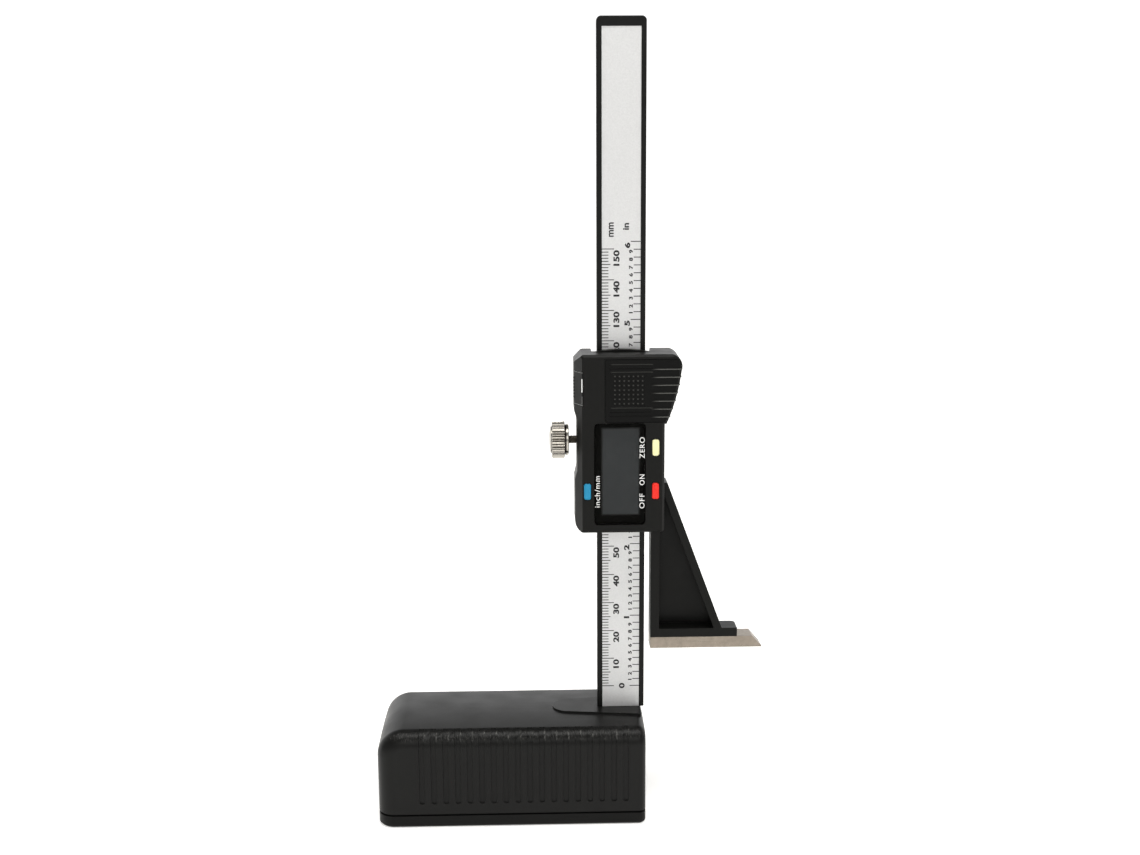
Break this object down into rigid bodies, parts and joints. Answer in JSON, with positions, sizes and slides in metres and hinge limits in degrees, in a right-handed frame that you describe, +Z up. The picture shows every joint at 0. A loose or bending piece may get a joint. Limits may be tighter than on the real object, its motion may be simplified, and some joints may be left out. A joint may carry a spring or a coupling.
{
  "type": "digital height gauge",
  "caption": "Digital height gauge: weighted moulded base, upright beam with printed scale, sliding display unit with lock screw, ribbed arm and steel measuring blade.",
  "frame": {"origin": "centre of the base's underside, on the table plane", "axes": "+Z up along the beam, +X along the base from its free end towards the beam and the blade, -Y towards the display side"},
  "size_m": [0.1307, 0.042, 0.265],
  "materials": {
    "base_plastic": "fine moulded texture, black ABS",
    "plate_plastic": "black ABS",
    "composite": "black glass-filled nylon",
    "case_plastic": "black moulded plastic, satin",
    "zinc_steel": "zinc plated",
    "black_steel": "black oxide",
    "nickel": "nickel plated, knurled",
    "blade_steel": "ground hardened steel",
    "cast_iron": "as cast",
    "label_film": "silver printed film",
    "board": "glass-epoxy laminate",
    "lens": "gloss, black printed border",
    "lcd": "liquid crystal glass, blank",
    "contact_rubber": "layered conductive rubber",
    "resin": "resin blob",
    "brass": "sheet brass",
    "spring_steel": "nickel plated spring steel",
    "blue_key": "blue rubber-feel plastic",
    "yellow_key": "pale yellow plastic",
    "red_key": "red plastic"
  },
  "bodies": {
    "base": {"base_housing": "base_plastic", "base_plate": "plate_plastic", "base_screws": "zinc_steel", "ballast_block": "cast_iron", "beam": "composite", "scale_strip": "board", "scale_label": "label_film", "beam_clamp": "zinc_steel", "clamp_screws": "zinc_steel"},
    "slider": {"slider_frame": "case_plastic", "front_housing": "case_plastic", "back_cover": "case_plastic", "case_screws": "black_steel", "gib_strip": "brass", "display_lens": "lens", "lcd_module": "lcd", "contact_strips": "contact_rubber", "circuit_board": "board", "driver_chip": "resin", "snap_domes": "spring_steel", "battery_cell": "spring_steel", "negative_contact": "spring_steel", "positive_contact": "spring_steel", "port_contacts": "brass", "measuring_blade": "blade_steel", "blade_screws": "black_steel"},
    "pad": {"lock_pad": "brass"},
    "lock_screw": {"lock_shaft": "black_steel", "lock_knob": "nickel"},
    "unit_key": {"button_unit": "blue_key"},
    "zero_key": {"button_zero": "yellow_key"},
    "power_key": {"button_power": "red_key"},
    "cell_door": {"battery_cover": "case_plastic"},
    "port_door": {"port_cover": "case_plastic"}
  },
  "joints": [
    {"name": "slider_travel", "type": "slide", "parent": "base", "child": "slider", "axis": [0, 0, 1], "range_m": [-0.0569, 0.0931]},
    {"name": "lock_pad_slide", "type": "slide", "parent": "slider", "child": "pad", "axis": [-1, 0, 0], "range_m": [0, 0.001]},
    {"name": "lock_screw_turn", "type": "hinge", "parent": "pad", "child": "lock_screw", "pos_m": [0.019, 0, 0.1287], "axis": [-1, 0, 0], "range_deg": [0, 720]},
    {"name": "unit_key_press", "type": "slide", "parent": "slider", "child": "unit_key", "axis": [0, 1, 0], "range_m": [0, 0.0004], "stiffness_N_per_m": 1500},
    {"name": "zero_key_press", "type": "slide", "parent": "slider", "child": "zero_key", "axis": [0, 1, 0], "range_m": [0, 0.0004], "stiffness_N_per_m": 1500},
    {"name": "power_key_press", "type": "slide", "parent": "slider", "child": "power_key", "axis": [0, 1, 0], "range_m": [0, 0.0004], "stiffness_N_per_m": 1500},
    {"name": "cell_door_slide", "type": "slide", "parent": "slider", "child": "cell_door", "axis": [1, 0, 0], "range_m": [0, 0.03]},
    {"name": "port_door_slide", "type": "slide", "parent": "slider", "child": "port_door", "axis": [-1, 0, 0], "range_m": [0, 0.008]}
  ],
  "couplings": [
    {"joint": "lock_screw_turn", "follows": "lock_pad_slide", "rad_per_m": 12566}
  ]
}
